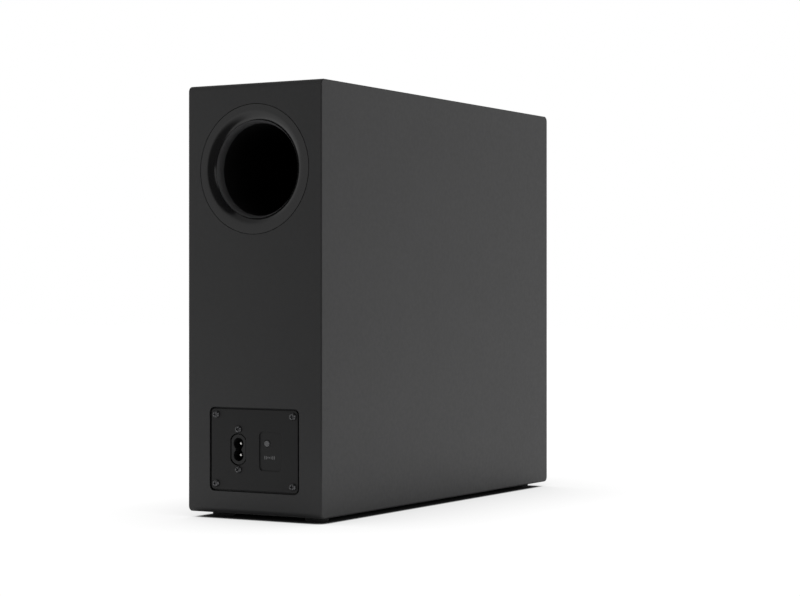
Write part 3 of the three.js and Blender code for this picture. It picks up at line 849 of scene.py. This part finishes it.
INLET_SETBACK = 0.1  # below the plate's face, and behind the plate
INLET_EDGE = 0.14
INLET_CAVITY = (8.9, 17.6, 5.4)  # width, height and waist
CAVITY_DEPTH = 12.0
INLET_DEPTH = 21.0
BODY_INSET = 1.0
BODY_RADIUS = 2.0
BODY_EDGE = 0.3
EARS = (12.9, 38.0, 3.0)
EARS_THICKNESS = 2.5
EARS_INSET = 1.2
EAR_SCREW = 15.15  # from the inlet's middle to each screw
PIN_OFFSET = 4.3  # half the standard distance between the pins
PIN_HOLE = 1.5
PIN_RADIUS = 1.2
PIN_SETBACK = 3.0
PIN_COLLAR = (2.0, 1.0)  # radius and thickness
PIN_TAIL = (0.9, 6.0)  # radius and length
PIN_ROUNDING = 0.7


def inlet():
    """The bezel with its cavity, the block that holds the pins, and the screwed ears."""
    front = plate_face - INLET_SETBACK
    floor = front - CAVITY_DEPTH
    width, height, radius = INLET_BEZEL
    outlines = [arched(width, height, radius), figure_eight(*INLET_CAVITY)]
    bezel = slab("bezel", outlines, floor, front, INLET_EDGE, 2)
    body = rounded_rectangle(width - BODY_INSET, height - BODY_INSET, BODY_RADIUS)
    pin_holes = [circle(PIN_HOLE, 24, 0, side * PIN_OFFSET) for side in (1, -1)]
    block = slab("block", [body, *pin_holes], front - INLET_DEPTH, floor, BODY_EDGE)
    hole = rounded_rectangle(width - EARS_INSET, height - EARS_INSET, BODY_RADIUS)
    ear_holes = [circle(SCREW_HOLE, 24, 0, side * EAR_SCREW) for side in (1, -1)]
    level = front - PLATE_THICKNESS
    outlines = [rounded_rectangle(*EARS), hole, *ear_holes]
    ears = slab("ears", outlines, level - EARS_THICKNESS, level, BODY_EDGE)
    mesh = joined("mains_inlet", bezel, block, ears)
    at = plate_spot(INLET_AT)
    put("inlet_housing", mesh, BLACK, at, "cabinet", ["mains_inlet"])


def inlet_pins():
    back = plate_face - INLET_SETBACK - INLET_DEPTH
    tip = plate_face - PIN_SETBACK
    collar, thickness = PIN_COLLAR
    tail, length = PIN_TAIL
    profile = [
        (0, back - length),
        (tail, back - length),
        (tail, back - thickness),
        (collar, back - thickness),
        (collar, back),
        (PIN_RADIUS, back),
        (PIN_RADIUS, tip - 0.9),
        *arc(PIN_RADIUS - PIN_ROUNDING, tip - PIN_ROUNDING, PIN_ROUNDING, 0, 90, 6),
        (0, tip),
    ]
    for name in ("pin_upper", "pin_lower"):
        node = f"inlet_{name}"
        mesh = lathe("pin", profile, 32)
        put(name, mesh, BRIGHT, plate_spot(on_plate(node)), "cabinet", [node])


# ---- screws --------------------------------------------------------------------------------------

PLATE_SCREW = (2.9, 2.0, 1.4, 10.0)  # head radius and height, shank radius and length
INLET_SCREW = (2.75, 1.9, 1.3, 6.0)
THREAD_PITCH = 0.7
THREAD_ROOT = 0.8  # as a share of the shank's radius
HEAD_ROUNDING = 0.45
RECESS = (0.62, 0.15, 0.85)  # reach and arm as shares of the head's radius, depth of its height


def cross_recess(reach, arm, depth, top):
    """A cutter for a cross slot that narrows towards its floor."""
    bm = bmesh.new()
    loops = []
    for scale, z in ((1.12, top + 0.4), (1.0, top), (0.52, top - depth)):
        a, b = arm * scale, reach * scale
        points = [(b, -a), (b, a), (a, a), (a, b), (-a, b), (-a, a), (-b, a), (-b, -a)]
        points += [(-a, -a), (-a, -b), (a, -b), (a, -a)]
        loops.append([bm.verts.new((x, y, z)) for x, y in points])
    bridge(bm, loops)
    bm.faces.new(loops[0])
    bm.faces.new(loops[-1])
    return mesh_from(bm, "recess")


def thread(shank, length):
    """The ridges along a shank, from its tip to just below the head."""
    points = []
    z = -length + 1.2
    while z < -1.2:
        root = (shank * THREAD_ROOT, z)
        points += [root, (shank, z + THREAD_PITCH * 0.35), (shank, z + THREAD_PITCH * 0.45)]
        z += THREAD_PITCH
    return points


def pan_screw(head, height, shank, length):
    """A pan head on z = 0 with a cross recess, over a threaded shank."""
    profile = [(0, -length), (shank * 0.25, -length), *thread(shank, length)]
    profile += [(shank * THREAD_ROOT, -0.6), (shank, 0), (head - 0.15, 0)]
    profile += arc(head - HEAD_ROUNDING, 0.5, HEAD_ROUNDING, -40, 60, 6)
    profile += [(head * share, height * (1 - 0.42 * share**3.2)) for share in (0.72, 0.5, 0.25)]
    body = lathe("screw", [*profile, (0, height)], 40)
    reach, arm, depth = RECESS
    return carved(body, [cross_recess(head * reach, head * arm, height * depth, height)])


def screw(node, size, turn):
    """A screw on the plate's face, its cross turned by some degrees."""
    at = plate_spot(on_plate(node), plate_face) @ Matrix.Rotation(math.radians(turn), 4, "Z")
    name = node.replace("screw", "screw_head")
    put(name, pan_screw(*size), BLACK_STEEL, at, "cabinet", [node], angle=28)


def screws():
    for i in range(1, 5):
        screw(f"plate_screw_{i}", PLATE_SCREW, 9 * (i % 3) - 8)
    for k, name in enumerate(("upper", "lower")):
        screw(f"inlet_screw_{name}", INLET_SCREW, 28 + 12 * k)


# ---- pairing button ------------------------------------------------------------------------------

BUTTON_STEM = 1.4
BUTTON_COLLAR = 1.1  # wider than the cap, so that it can't fall out
COLLAR_THICKNESS = 1.0
COLLAR_DROP = 0.9  # below the plate's back at rest
COLLAR_EDGE = 0.2
CAP_EDGE = 0.45
CAP_DISH = 0.22  # how far the cap's middle is sunk
PICTOGRAM_OFFSET = (2.1, -10.4)  # from the button
DOT = 0.42
WAVES = ((1.5, 34), (2.9, 24), (4.3, 18))  # radius, and reach to each side in degrees
WAVE_STROKE = 0.22
INK_THICKNESS = 0.03


def button():
    bottom = (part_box("pair_button")[0].y - rear_high.y) / MM
    stop = plate_face - PLATE_THICKNESS - COLLAR_DROP
    radius = BUTTON_RADIUS
    corners = [
        (0, bottom),
        (BUTTON_STEM, bottom),
        (BUTTON_STEM, stop - COLLAR_THICKNESS),
        (radius + BUTTON_COLLAR, stop - COLLAR_THICKNESS, COLLAR_EDGE),
        (radius + BUTTON_COLLAR, stop, COLLAR_EDGE),
        (radius, stop),
        (radius, plate_face, CAP_EDGE),
        (radius * 0.62, plate_face - 0.02, 1.2),
        (0, plate_face - CAP_DISH),
    ]
    mesh = lathe("pair_button", fillet(corners, 5, False), 64)
    at = plate_spot(BUTTON_AT)
    put("button_cap", mesh, GREY, at, "button", ["pair_button"])


def pictogram():
    """Generic radio waves to both sides of a dot, printed on the pocket's floor."""
    low = plate_face - POCKET_DEPTH
    high = low + INK_THICKNESS
    x, y = BUTTON_AT[0] + PICTOGRAM_OFFSET[0], BUTTON_AT[1] + PICTOGRAM_OFFSET[1]
    marks = [slab("dot", [circle(DOT, 24, x, y)], low, high)]
    for side in (0, 180):
        for radius, reach in WAVES:
            outer = arc(x, y, radius + WAVE_STROKE, side - reach, side + reach, 10)
            inner = arc(x, y, radius - WAVE_STROKE, side + reach, side - reach, 10)
            marks.append(slab("wave", [outer + inner], low, high))
    put("pictogram", joined("pictogram", *marks), INK, plate_at, "cabinet")


# ---- grille --------------------------------------------------------------------------------------

GRILLE_RADIUS = 85.6
GRILLE_HOLE = 1.5
GRILLE_PITCH = 4.4
GRILLE_SHEET = 1.0
GRILLE_RIM = 3.4  # plain band outside the holes
ROLL = 1.6  # width of the rolled edge
ROLL_RADIUS = 0.9
ROLL_DEPTH = 1.2
ROLL_LAP = 0.2
CELL_CORNERS = 12


def hole_centres():
    """Staggered places for the grille's holes, row by row."""
    rise = GRILLE_PITCH * math.sqrt(3) / 2
    limit = GRILLE_RADIUS - GRILLE_RIM - GRILLE_PITCH / 2
    rows = int(limit / rise) + 1
    for row in range(-rows, rows + 1):
        for column in range(-2 * rows, 2 * rows + 1):
            x, y = (column + 0.5 * (row % 2)) * GRILLE_PITCH, row * rise
            if math.hypot(x, y) <= limit:
                yield x, y


def perforated_sheet():
    """A flat disc of six-sided cells, each with a round hole, and a plain band round them."""
    bm = bmesh.new()
    corner = GRILLE_PITCH / math.sqrt(3)
    hole_verts = set()
    for x, y in hole_centres():
        outer, inner = [], []
        for k in range(CELL_CORNERS):
            angle = math.radians(360 / CELL_CORNERS * k)
            across, up = math.cos(angle), math.sin(angle)
            reach = corner if k % 2 else GRILLE_PITCH / 2
            outer.append(bm.verts.new((x + reach * across, y + reach * up, 0)))
            inner.append(bm.verts.new((x + GRILLE_HOLE * across, y + GRILLE_HOLE * up, 0)))
        hole_verts.update(inner)
        bridge(bm, [outer, inner])
    bmesh.ops.remove_doubles(bm, verts=[v for v in bm.verts if v not in hole_verts], dist=0.01)
    edges = [e for e in bm.edges if e.is_boundary and not any(v in hole_verts for v in e.verts)]
    rim = [bm.verts.new((x, y, 0)) for x, y in circle(GRILLE_RADIUS - ROLL + ROLL_LAP, 192)]
    edges += [bm.edges.new((rim[i], rim[i - 1])) for i in range(len(rim))]
    bmesh.ops.triangle_fill(bm, use_beauty=True, edges=edges)
    for face in bm.faces:
        if face.normal.z < 0:
            face.normal_flip()
    made = bmesh.ops.extrude_face_region(bm, geom=bm.faces[:])
    lower = [v for v in made["geom"] if isinstance(v, bmesh.types.BMVert)]
    bmesh.ops.translate(bm, vec=(0, 0, -GRILLE_SHEET), verts=lower)
    return mesh_from(bm, "sheet")


def grille():
    """A flush steel disc with staggered round holes and a rolled edge."""
    corners = [
        (GRILLE_RADIUS - ROLL, -GRILLE_SHEET),
        (GRILLE_RADIUS - ROLL, 0),
        (GRILLE_RADIUS, 0, ROLL_RADIUS),
        (GRILLE_RADIUS, -ROLL_DEPTH),
    ]
    edge = lathe("edge", fillet(corners, 6), 192)
    mesh = joined("grille", perforated_sheet(), edge)
    put("grille_sheet", mesh, GRILLE_PAINT, woofer_at, "cabinet", ["grille"], angle=30)


# ---- woofer --------------------------------------------------------------------------------------

FLANGE_FACE = -12.9  # levels are counted from the side face with the grille, outward
SURROUND = (71.0, 59.0)  # outer and inner radius of the roll
SURROUND_SHEET = 0.7
SURROUND_LAPS = (3.0, 4.0)  # outside the roll and inside it
SPIDER = (46.5, 19.3)  # outer and inner radius
SPIDER_LEVEL = -44.3
SPIDER_WAVES = 4.5
SPIDER_LIFT = 0.7
SPIDER_SHEET = 0.5
SPIDER_FLAT = 0.12  # share of the width that is flat, at the rim
CONE_NECK = (19.5, -35.4)  # radius and level
CONE_PAPER = 0.9
CONE_BOW = 1.6
CONE_STEPS = 32
RIBS = (0.35, 0.6)  # as shares of the way from the rim to the neck
RIB_HEIGHT = 0.16
RIB_WIDTH = 0.02
DOME_RADIUS = 45.5
DOME_CENTRE = -71.4
DOME_PAPER = 0.8
SKIRT = 1.4  # the flat rim of the dust cap


def surround():
    """A half-round rubber roll between the basket and the cone."""
    outer, inner = SURROUND
    centre, roll = (outer + inner) / 2, (outer - inner) / 2
    low = FLANGE_FACE + 0.1
    high = low + SURROUND_SHEET
    top = arc(centre, high, roll, 0, 180, 22)
    under = arc(centre, low, roll - SURROUND_SHEET, 180, 0, 22)
    rim, lap = outer + SURROUND_LAPS[0], inner - SURROUND_LAPS[1]
    profile = [(rim, high), *top, (lap, high), (lap, low), *under, (rim, low)]
    mesh = lathe("surround", profile, 144)
    obj = put("surround_roll", mesh, RUBBER, woofer_at, "cabinet", ["surround"])
    bend_by_radius(obj)


def spider():
    """A corrugated cloth disc that centres the voice coil."""
    outer, inner = SPIDER
    steps = 64
    upper = []
    for i in range(steps + 1):
        share = i / steps
        flat = min(1.0, (1 - share) / SPIDER_FLAT)
        lift = SPIDER_LIFT * (1 - math.cos(share * 2 * math.pi * SPIDER_WAVES)) * flat
        upper.append((inner + (outer - inner) * share, SPIDER_LEVEL + lift))
    profile = upper + [(radius, z - SPIDER_SHEET) for radius, z in reversed(upper)]
    mesh = lathe("spider", profile, 96)
    obj = put("spider_disc", mesh, SPIDER_CLOTH, woofer_at, "cabinet", ["spider"])
    bend_by_radius(obj)


def bend_by_radius(obj):
    """The piece leaves its body: it is unparented and unmarked, loses its weighted normals and is baked
    in place.
    """
    obj.parent = None
    del obj["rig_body"]
    obj.modifiers.remove(obj.modifiers["flat_faces"])
    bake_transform(obj)


def cone():
    """A paper cone with two shallow stiffening ribs."""
    rim_radius = SURROUND[1] - 0.4
    start = SURROUND[1] - SURROUND_LAPS[1] - 0.2
    neck, depth = CONE_NECK
    upper, lower = [], []
    for i in range(CONE_STEPS + 1):
        share = i / CONE_STEPS
        radius = start + (neck - start) * share
        bow = CONE_BOW * math.sin(math.pi * share)
        z = FLANGE_FACE - 0.2 + (depth - FLANGE_FACE) * share + bow
        ribs = [RIB_HEIGHT * math.exp(-(((share - place) / RIB_WIDTH) ** 2)) for place in RIBS]
        upper.append((radius, z + sum(ribs)))
        lower.append((radius, z - CONE_PAPER))
    edge = [(rim_radius, FLANGE_FACE - CONE_PAPER), (rim_radius, FLANGE_FACE - 0.1)]
    mesh = lathe("cone", [*edge, *upper, *reversed(lower)], 144)
    put("cone_paper", mesh, PAPER, woofer_at, "diaphragm", ["cone"])


def dust_cap():
    """The shallow dome glued over the cone's neck."""
    dome = arc(0, DOME_CENTRE, DOME_RADIUS, 90, 59.7, 16)
    inside = arc(0, DOME_CENTRE, DOME_RADIUS - DOME_PAPER, 60.4, 90, 14)
    rim, level = dome[-1]
    skirt = [(rim + SKIRT, level + 0.1), (inside[0][0] + SKIRT + 0.7, level - 0.5)]
    mesh = lathe("dust_cap", [*dome, *skirt, *inside], 96)
    put("dust_dome", mesh, PAPER, woofer_at, "diaphragm", ["dust_cap"])


# ---- feet ----------------------------------------------------------------------------------------

FOOT_RADIUS = 9.0
FOOT_HEIGHT = 4.0
SOLE_EDGE = 1.1
HOLLOW = (3.2, 0.25)  # radius and depth of the hollow in the middle of the sole
GROOVE = (5.6, 6.8, 0.5)  # inner and outer radius and depth
SOLE_ROUNDING = 0.2
SOLE_SLOPE = 0.3


def feet():
    """Rubber feet with a rounded rim, a hollow and a shallow ring groove in the sole."""
    hollow, sunk = HOLLOW
    inner, outer, depth = GROOVE
    corners = [
        (0, sunk),
        (hollow, sunk, SOLE_ROUNDING),
        (hollow + SOLE_SLOPE, 0, SOLE_ROUNDING),
        (inner, 0, SOLE_ROUNDING),
        (inner + SOLE_SLOPE, depth, SOLE_ROUNDING),
        (outer - SOLE_SLOPE, depth, SOLE_ROUNDING),
        (outer, 0, SOLE_ROUNDING),
        (FOOT_RADIUS, 0, SOLE_EDGE),
        (FOOT_RADIUS - 0.3, FOOT_HEIGHT),
        (0, FOOT_HEIGHT),
    ]
    profile = fillet(corners, 4, False)
    for place in ("rear_plain", "rear_woofer", "front_woofer", "front_plain"):
        node = f"foot_{place}"
        at = middle(node)
        at.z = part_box(node)[0].z
        mesh = lathe("foot", profile, 64)
        put(f"rubber_{node}", mesh, RUBBER, Matrix.Translation(at), "cabinet", [node])


# ---- CAD nodes that keep their shape -------------------------------------------------------------

KEPT = (
    (RAW_BOARD, ("inner_brace", "woofer_ring")),
    (WADDING, ("damping_pad",)),
    (RUBBER, ("plate_gasket", "woofer_gasket")),
    (BLACK, ("switch_plunger", "mains_capacitor", "output_capacitor", "grille_frame")),
    (ZINC, ("pair_switch", "radio_module", "top_plate", "back_plate")),
    (CIRCUIT, ("button_board", "amp_board")),
    (ALUMINIUM, ("amp_tray", "heatsink")),
    (FERRITE, ("transformer", "magnet")),
    (COPPER, ("output_choke", "voice_coil")),
    (GREY, ("speaker_socket", "terminal_strip")),
    (SHEATH, ("inlet_lead", "woofer_lead")),
    (GRILLE_PAINT, ("woofer_basket",)),
    (BLACK_STEEL, tuple(f"woofer_screw_{i}" for i in range(1, 5))),
)


def dress_kept_nodes():
    for material, names in KEPT:
        for name in names:
            materials = frame["nodes"][name].data.materials
            materials.clear()
            materials.append(material)


# ---- stage ---------------------------------------------------------------------------------------

FLOOR_DROP = 0.0002  # keeps the floor clear of the feet's soles
FLOOR_REACH = 9.0
SHADOW_REACH = 0.14
# painted contact shadow on the floor's own glow, as (openness, brightness) stops
SHADOW = ((0.0, 0.0), (0.2, 0.02), (0.36, 0.5), (0.47, 0.78), (0.75, 0.93), (1.0, 1.04))
NEAR_GLOW = 0.84  # on the camera's side of the studio
FAR_GLOW = 0.7  # beyond the cabinet
CEILING_SHARE = 0.55
DARK_SHARE = 0.1
KEY_GLOW = 0.75


def compass(turn):
    """The rear face's outward way, turned by some degrees toward the plain side."""
    return (-math.sin(math.radians(turn)), math.cos(math.radians(turn)), 0.0)


DARK_SIDE = compass(28)  # about where the camera is
KEY_SIDE = compass(92)


def pale_floor():
    """A white ground that shines by itself, with a painted contact shadow: its glow dims where
    something stands close over it. On the camera's side it lights and is reflected as a dark one, like
    the studio there."""
    material = bpy.data.materials.new("pale_floor")
    material.use_nodes = True
    material.node_tree.nodes.clear()
    g = Graph(material.node_tree)
    # painted shadow: how open the floor is above it sets how brightly it glows
    openness = g.node("ShaderNodeAmbientOcclusion", samples=24, Distance=SHADOW_REACH).outputs["AO"]
    ramp = g.node("ShaderNodeValToRGB")
    stops = ramp.color_ramp.elements
    while len(stops) < len(SHADOW):
        stops.new(0.5)
    for stop, (position, level) in zip(stops, SHADOW):
        stop.position = position
        stop.color = (level, level, level, 1)
    g.link(openness, ramp.inputs["Fac"])
    place = g.node("ShaderNodeNewGeometry").outputs["Position"]
    heading = g.vector("DOT_PRODUCT", g.vector("NORMALIZE", place), DARK_SIDE)
    away = g.ranged(g.vector("LENGTH", place), 0, 1, 0.18, 0.38)
    toward_camera = g.combined("MULTIPLY", heading, away)
    level = g.ranged(toward_camera, 1.0, DARK_SHARE, 0.55, 0.85, smooth=True)
    level = g.combined("MULTIPLY", level, g.ranged(openness, 0, 1, 0.5, 0.88))
    seen = g.node("ShaderNodeLightPath").outputs["Is Camera Ray"]
    glow = g.node("ShaderNodeEmission")
    g.link(ramp.outputs["Color"], glow.inputs["Color"])
    g.link(g.combined("MAXIMUM", level, seen), glow.inputs["Strength"])
    g.link(glow.outputs[0], g.node("ShaderNodeOutputMaterial").inputs["Surface"])
    return material


def add_floor():
    mesh = bpy.data.meshes.new("floor")
    corners = [(-1, -1), (1, -1), (1, 1), (-1, 1)]
    points = [(x * FLOOR_REACH, y * FLOOR_REACH, -FLOOR_DROP) for x, y in corners]
    mesh.from_pydata(points, [], [(0, 1, 2, 3)])
    mesh.materials.append(pale_floor())
    floor = bpy.data.objects.new("floor", mesh)
    bpy.context.scene.collection.objects.link(floor)


def add_world(ahead):
    """A white studio with a broad soft light at the plain side. It is a little dimmer beyond the
    cabinet, dimmer overhead and dark round the camera. The camera itself sees plain white."""
    world = bpy.data.worlds.new("studio")
    bpy.context.scene.world = world
    world.use_nodes = True
    world.node_tree.nodes.clear()
    g = Graph(world.node_tree)
    ray = g.node("ShaderNodeTexCoord").outputs["Generated"]
    around = g.vector("NORMALIZE", g.vector("MULTIPLY", ray, (1, 1, 0)))

    def toward(heading, direction, low, high, start, end):
        """A level that goes from low to high as a ray turns toward a direction."""
        return g.ranged(g.vector("DOT_PRODUCT", heading, direction), low, high, start, end, smooth=True)

    level = toward(ray, ahead, NEAR_GLOW, FAR_GLOW, -0.5, 0.2)
    ceiling = toward(ray, (0, 0, 1), 1.0, CEILING_SHARE, 0.35, 0.85)
    dark = toward(around, DARK_SIDE, 1.0, DARK_SHARE, 0.68, 0.84)
    level = g.combined("MULTIPLY", g.combined("MULTIPLY", level, ceiling), dark)
    level = g.combined("ADD", level, toward(ray, KEY_SIDE, 0.0, KEY_GLOW, 0.72, 0.78))
    seen = g.node("ShaderNodeLightPath").outputs["Is Camera Ray"]
    fill = g.node("ShaderNodeBackground", Color=(1, 1, 1, 1))
    g.link(g.combined("MAXIMUM", level, seen), fill.inputs["Strength"])
    g.link(fill.outputs[0], g.node("ShaderNodeOutputWorld").inputs["Surface"])


# ---- build ---------------------------------------------------------------------------------------

ahead = add_camera()
cabinet_skin()
port_flange()
port_sleeve()
port_liner()
plate()
inlet()
inlet_pins()
screws()
button()
pictogram()
grille()
surround()
spider()
cone()
dust_cap()
feet()
dress_kept_nodes()
add_floor()
add_world(ahead)
bpy.context.scene.view_settings.view_transform = "Standard"

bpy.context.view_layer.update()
